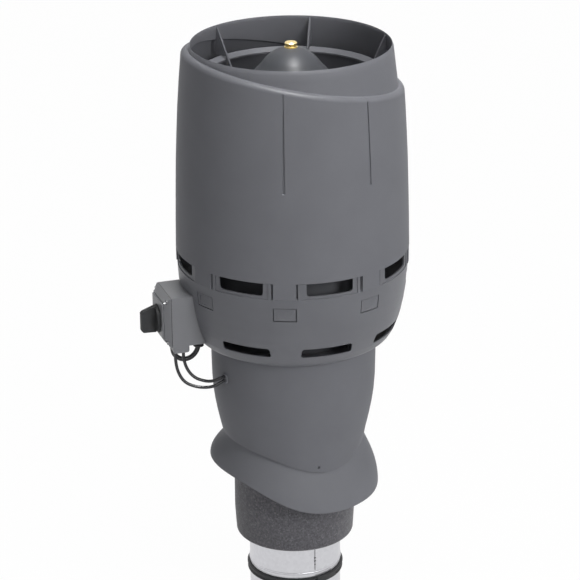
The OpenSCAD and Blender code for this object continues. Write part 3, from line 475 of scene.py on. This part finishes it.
def hood_rows(angle, tongue):
    """Profile of the hood at one angle as (radius, height), up its outside and down its inside."""
    corner = 180.0
    for _ in range(4):  # settles on where the slanting shoulder meets the wall
        round_start = shoulder(corner, angle) - SHOULDER_ROUND
        corner = along(HOOD_WALL, round_start) - SHOULDER_ROUND
    top = shoulder(corner, angle)
    low = TONGUE_LOW if tongue else HOOD_LOW
    low_radius = HOOD_WALL[0][0] - (TONGUE_BACK if tongue else 0)
    rows = [(low_radius - WALL, low), (low_radius - HOOD_EDGE, low), (low_radius, low + HOOD_EDGE),
            (low_radius, TONGUE_STEP[0]), (HOOD_WALL[0][0], TONGUE_STEP[1])]
    rows += [(along(HOOD_WALL, h), h) for h in HOOD_RINGS]
    last = HOOD_RINGS[-1]
    rows += [(along(HOOD_WALL, h), h) for h in [last + (round_start - last) * t for t in (0.33, 0.66)]]
    rows += arc(corner, top, SHOULDER_ROUND, [90 * step / 8 for step in range(9)])
    foot = collar_outside(shoulder(COLLAR_FOOT, angle))
    rows += [(foot + FOOT_FILLET[0], shoulder(foot + FOOT_FILLET[0], angle)),
             (foot + FILLET_MIDDLE[0], shoulder(foot, angle) + FILLET_MIDDLE[1]),
             (foot, shoulder(foot, angle) + FOOT_FILLET[1])]
    rows += [(collar_outside(h), h) for h in (COLLAR_RING, RIM_HEIGHT - RIM_BEVEL)]
    rows += [(COLLAR_RADIUS + out, RIM_HEIGHT + up) for out, up in RIM_EDGE]
    inner_top = shoulder(COLLAR_INNER_FOOT, angle) - WALL
    rows += [(collar_inside(COLLAR_RING), COLLAR_RING),
             (collar_inside(inner_top), inner_top + INNER_FILLET[1]),
             (collar_inside(inner_top) + INNER_FILLET[0], inner_top)]
    rows += arc(corner, top - WALL, SHOULDER_ROUND - WALL, [90 * (1 - step / 4) for step in range(5)])
    rows += [(along(HOOD_WALL, h) - WALL, h) for h in HOOD_INNER_RINGS]
    return rows + [(low_radius - WALL, TONGUE_STEP[0])]


def hood_column(angle, tongue):
    return [(r, angle, z) for r, z in hood_rows(angle, tongue)]


def groove_column(angle, across):
    """A column in or beside a groove, which narrows upwards; across runs from -1 to 1."""
    column = []
    for i, (r, z) in enumerate(hood_rows(angle, True)):
        up = min(max((z - GROOVE_LOW) / GROOVE_LENGTH, 0), 1)
        shift = across * (GROOVE_HALF[0] + (GROOVE_HALF[1] - GROOVE_HALF[0]) * up) / r
        if i in GROOVE_ROWS and z > GROOVE_LOW and abs(across) < GROOVE_FLOOR:
            r -= GROOVE_DEPTH
        column.append((r, angle + shift, z))
    return column


def hood_columns():
    """The usual columns, with pairs at the sides of each tongue and seven across each groove."""
    columns = []
    for angle in ROUND:
        near = [a % math.tau for a in GROOVES
                if abs((angle - a + math.pi) % math.tau - math.pi) < math.radians(0.6 * COLUMN_STEP)]
        off_tongue = abs((angle / math.tau * BAYS) % 1 - 0.5) * math.tau / BAYS
        if near:
            columns += [groove_column(near[0], across) for across in GROOVE_ACROSS]
        else:
            columns.append(hood_column(angle, off_tongue < TONGUE_HALF))
    hair = 0.0002  # angle between a tongue's side and the next column, in radians
    for bay in range(BAYS):
        middle = math.tau * (bay + 0.5) / BAYS
        for side in (-1, 1):
            columns.append(hood_column(middle + side * TONGUE_HALF, True))
            columns.append(hood_column(middle + side * (TONGUE_HALF + hair), False))
    return sorted(columns, key=lambda column: column[0][1] % math.tau)


shell("hood_shell", hood_columns(), polypropylene, "hood", "hood")


# Press latches

LATCH_DRAW = 0.8
LATCH_EDGE = 0.5


def latch_pad(node):
    """One latch, drawn in from the bowl's window so that the joint round it shows in the render."""
    mesh = bmesh.new()
    mesh.from_mesh(frame["nodes"][node].data)
    bmesh.ops.remove_doubles(mesh, verts=mesh.verts, dist=0.01 * MM)
    bmesh.ops.recalc_face_normals(mesh, faces=mesh.faces)
    mesh.normal_update()
    for vert in mesh.verts:
        vert.co -= vert.normal * LATCH_DRAW * MM
    pad = piece(node + "_pad", mesh, bowl_plastic, node, [node])
    pad.data.shade_flat()
    round_edges(pad, LATCH_EDGE)


for latch in range(1, BAYS + 1):
    latch_pad("latch_%d" % latch)


# Motor cover, a smooth bell through the corners of its solid's outline

DOME_OUTLINE = [(98.0, 862.3), (96.04, 884.95), (88.49, 909.98), (76.05, 933.94), (62.03, 953.04),
                (50.96, 965.03), (42.53, 975.56), (30.97, 985.44), (19.99, 991.5), (11.96, 994.0)]
DOME_INSET = (0.75 * WALL, 0.8 * WALL)  # from the outer face in and down to the inner one
STUD_HOLE_RADIUS = 4.4


def smoothed(points, parts):
    """Points of a smooth curve that runs through the given ones, with that many parts between two."""
    ends = [points[0]] + points + [points[-1]]
    curve = []
    for a, b, c, d in zip(ends, ends[1:], ends[2:], ends[3:]):
        for step in range(parts):
            t = step / parts
            weights = (-t + 2 * t * t - t ** 3, 2 - 5 * t * t + 3 * t ** 3,
                       t + 4 * t * t - 3 * t ** 3, t ** 3 - t * t)
            curve.append(tuple(sum(w * p[i] for w, p in zip(weights, (a, b, c, d))) / 2 for i in (0, 1)))
    return curve + [points[-1]]


def dome_column(angle):
    outside = smoothed(DOME_OUTLINE, 4)
    top = outside[-1][1]
    inside = [(r - DOME_INSET[0], z - DOME_INSET[1]) for r, z in outside[2:]]
    rows = outside + [(STUD_HOLE_RADIUS, top), (STUD_HOLE_RADIUS, top - WALL)] + inside[::-1]
    rows.append((DOME_OUTLINE[0][0] - WALL, DOME_OUTLINE[0][1]))
    return [(r, angle, z) for r, z in rows]


shell("motor_dome_shell", [dome_column(a) for a in ROUND], shaded_cover_plastic, "fan_body", "motor_dome")


# Lower body and skirt, whose edges rise and fall round the duct

BODY_RADIUS = 141.3
BODY_TOP = 490.0
BODY_WALL = [(119.4, 262), (120, 285), (123, 309), (127.9, 330), (132.3, 350), (136, 370), (138.7, 390),
             (140.2, 412), (141.1, 440), (BODY_RADIUS, BODY_TOP)]
BODY_RING = 440.0  # the rings of points are spread from the edge up to here
BODY_LAST_RING = 455.0
BODY_EDGE = 1.6  # height of the bevelled edge
# Rounded lower edge, outwards from the wall's face and upwards from the edge
BODY_LIP = [(-WALL, 0.3), (0.4 - WALL, 0), (-0.9, 0), (-0.15, 0.5)]
TOP_HOLE_RADIUS = 84.0  # hole in the body's top plate, round the duct
EDGE_BACK = 316.0
LOBE_DROP = 45.0
LOBE_AT = math.radians(13)
LOBE_SHARPNESS = 5.3
RIM_BACK = (149.0, 259.0)
RIM_SIDE = 137.5
RIM_FRONT = (147.5, 207.0)
SKIRT_AT = math.radians(31)
FRONT_SPREAD = 0.66  # how far round the skirt its front and its back shapes reach
BACK_SPREAD = 0.5
SKIRT_STEPS = (0, 0.08, 0.16, 0.25, 0.34, 0.43, 0.52, 0.61, 0.7, 0.79, 0.87, 0.93, 0.97, 0.99)
FLARE_POWER = 2.0  # how long the skirt stays upright before it flares
FLARE_EASE = 0.9  # how much sooner it flares at the front
# The skirt's rounded rim, outwards and upwards from the rim's corner
SKIRT_LIP = [(-0.1, 0.2), (-0.7, -0.3), (0.5 - WALL, -0.3)]
NECK_RADIUS = 116.1
NECK_TOP = 342.0
NECK_THICKER = 0.25  # share by which the skirt's wall is thicker at the neck
NECK_DROP = 0.6  # how much lower its inner face lies there
FIXING_HOLE = {"radius": 2.25, "inner": 105, "outer": 130, "angle": math.radians(2), "height": 284}
CABLE_HOLE = {"radius": 7.9, "inner": 125, "outer": 150, "angle": math.radians(-73.6), "height": 437.5}


def edge_height(angle):
    return EDGE_BACK - LOBE_DROP * ((1 + math.cos(angle - LOBE_AT)) / 2) ** LOBE_SHARPNESS


def body_column(angle):
    edge = edge_height(angle)
    edge_radius = along(BODY_WALL, edge)
    rows = [(edge_radius + out, edge + up) for out, up in BODY_LIP]
    low = edge + BODY_EDGE
    heights = [low] + [low + (BODY_RING - edge) * t for t in (0.1, 0.2, 0.3, 0.45, 0.6, 0.8)]
    rows += [(along(BODY_WALL, h), h) for h in heights + [BODY_LAST_RING, BODY_TOP - 0.5]]
    rows += [(BODY_RADIUS - 0.5, BODY_TOP), (TOP_HOLE_RADIUS, BODY_TOP), (TOP_HOLE_RADIUS, BODY_TOP - WALL),
             (BODY_RADIUS - WALL, BODY_TOP - WALL)]
    rows += [(along(BODY_WALL, h) - WALL, h) for h in [BODY_LAST_RING] + heights[::-1]]
    return [(r, angle, z) for r, z in rows]


def skirt_column(angle):
    """Profile of the skirt: it flares out under the body's edge, lowest at the front."""
    front = math.exp(-(((1 - math.cos(angle - SKIRT_AT)) / FRONT_SPREAD) ** 2))
    back = math.exp(-(((1 + math.cos(angle - SKIRT_AT)) / BACK_SPREAD) ** 2))
    rim_radius = RIM_SIDE + (RIM_FRONT[0] - RIM_SIDE) * front + (RIM_BACK[0] - RIM_SIDE) * back
    rim_height = RIM_BACK[1] + (RIM_FRONT[1] - RIM_BACK[1]) * front
    edge = edge_height(angle)
    outer, inner = [], []
    for t in SKIRT_STEPS:
        flare = math.sin(math.radians(90 * t)) ** (FLARE_POWER - FLARE_EASE * front)
        r = NECK_RADIUS + (rim_radius - NECK_RADIUS) * flare
        z = edge + (rim_height - edge) * t
        outer.append((r, z))
        inner.append((r - WALL * (1 + NECK_THICKER * (1 - t)), z - NECK_DROP * (1 - t)))
    lip = [(rim_radius + out, rim_height + up) for out, up in SKIRT_LIP]
    rows = [(NECK_RADIUS, NECK_TOP)] + outer + lip + inner[::-1] + [(NECK_RADIUS - WALL, NECK_TOP)]
    return [(r, angle, z) for r, z in rows]


lower_body = shell("lower_body_shell", [body_column(a) for a in ROUND], polypropylene,
                   "fan_body", "lower_body")
cut(lower_body, radial_rod(**FIXING_HOLE))
cut(lower_body, radial_rod(**CABLE_HOLE))
shell("storm_skirt_shell", [skirt_column(a) for a in ROUND], lit_skirt_plastic,
      "fan_body", "storm_skirt", sharp=60)


# Seam of the duct's sheet: a thin upright line, with three short marks across it

SEAM_AT = math.radians(7.1)
SEAM_LOW = 66.5
SEAM_HIGH = 112.0
SEAM_RADIUS = 80.35
SEAM_WIDTH = 0.9
SEAM_THICK = 0.5
MARK_RADIUS = 80.45
MARK_HALF = 0.9
MARKS = [(77, 2.2), (84, 3.2), (90, 3.2)]  # height and width of each


def seam_strip(name, radius, width, low, high):
    """A narrow upright strip on the duct; it stands for no solid."""
    mesh = bmesh.new()
    bmesh.ops.create_cube(mesh, size=1.0)
    bmesh.ops.scale(mesh, vec=(width * MM, SEAM_THICK * MM, (high - low) * MM), verts=mesh.verts)
    turn = Matrix.Rotation(SEAM_AT, 4, "Z") @ Matrix.Translation((0, -radius * MM, (low + high) / 2 * MM))
    bmesh.ops.transform(mesh, matrix=turn, verts=mesh.verts)
    return piece(name, mesh, seal_rubber, "fan_body", [])


seam_strip("duct_seam_line", SEAM_RADIUS, SEAM_WIDTH, SEAM_LOW, SEAM_HIGH)
for mark, (height, width) in enumerate(MARKS):
    seam_strip("duct_seam_mark_%d" % mark, MARK_RADIUS, width, height - MARK_HALF, height + MARK_HALF)


# Floor, room and lamps; distances in metres

FLOOR_HALF = 12.0
FLOOR_DROP = 0.0005
LAMP_AIM = Vector((0, 0, 0.55))
ROOM_BRIGHT_WAY = (0.5, -0.65, 0.57)  # the room is brightest to the front right and above


def make_floor():
    """Pale floor that the camera sees as nearly white, with the fan's faint shadow on it."""
    mesh = bmesh.new()
    bmesh.ops.create_grid(mesh, x_segments=1, y_segments=1, size=FLOOR_HALF)
    floor = put("floor", mesh_data("floor", mesh))
    floor.location.z = -FLOOR_DROP
    material = bpy.data.materials.new("floor_white")
    material.use_nodes = True
    tree = material.node_tree
    paper = add(tree, "BsdfDiffuse", {"Color": linear("#e6e6e6")})
    glow = add(tree, "Emission", {"Color": (1, 1, 1, 1), "Strength": 1.0})
    ray = add(tree, "LightPath").outputs
    seen = add(tree, "Math", {0: ray["Is Camera Ray"], 1: ray["Is Glossy Ray"]}, operation="MAXIMUM")
    share = add(tree, "Math", {0: seen.outputs[0], 1: 0.98}, operation="MULTIPLY")
    mixed = add(tree, "MixShader", {0: share.outputs[0], 1: paper.outputs[0], 2: glow.outputs[0]})
    tree.links.new(mixed.outputs[0], tree.nodes["Material Output"].inputs["Surface"])
    floor.data.materials.append(material)


def make_room(dark, bright):
    """A room that looks white in view and in mirrored light, but lights the fan from the front right."""
    world = bpy.data.worlds.new("studio")
    bpy.context.scene.world = world
    world.use_nodes = True
    tree = world.node_tree
    way = add(tree, "TexCoord").outputs["Generated"]
    turned = add(tree, "VectorMath", {0: way, 1: ROOM_BRIGHT_WAY}, operation="DOT_PRODUCT")
    level = add(tree, "MapRange", {"Value": turned.outputs["Value"], "From Min": -0.8, "From Max": 0.9,
                                   "To Min": dark, "To Max": bright})
    room = add(tree, "Background", {"Color": (1, 1, 1, 1), "Strength": level.outputs["Result"]})
    white = add(tree, "Background", {"Color": (1, 1, 1, 1), "Strength": 1.0})
    ray = add(tree, "LightPath").outputs
    seen = add(tree, "Math", {0: ray["Is Camera Ray"], 1: ray["Is Glossy Ray"]}, operation="MAXIMUM")
    seen = add(tree, "Math", {0: seen.outputs[0], 1: ray["Is Transmission Ray"]}, operation="MAXIMUM")
    mixed = add(tree, "MixShader", {0: seen.outputs[0], 1: room.outputs[0], 2: white.outputs[0]})
    tree.links.new(mixed.outputs[0], tree.nodes["World Output"].inputs["Surface"])


def make_lamp(name, azimuth, elevation, distance, size, power, shine_only=False):
    """Square soft lamp that looks at the middle of the fan; with shine_only it adds gloss alone."""
    data = bpy.data.lights.new(name, "AREA")
    data.shape = "SQUARE"
    data.size = size
    data.energy = power
    lamp = put(name, data)
    a, e = math.radians(azimuth), math.radians(elevation)
    away = Vector((math.sin(a) * math.cos(e), -math.cos(a) * math.cos(e), math.sin(e)))
    lamp.location = LAMP_AIM + away * distance
    lamp.rotation_euler = away.to_track_quat("Z", "Y").to_euler()
    lamp.visible_diffuse = not shine_only


bpy.context.scene.view_settings.view_transform = "Standard"
make_floor()
make_room(dark=0.03, bright=0.62)
make_lamp("key", azimuth=18, elevation=22, distance=2.6, size=0.8, power=24)
make_lamp("top", azimuth=20, elevation=84, distance=2.6, size=0.7, power=34)
make_lamp("glint", azimuth=8, elevation=72, distance=2.6, size=0.5, power=650, shine_only=True)
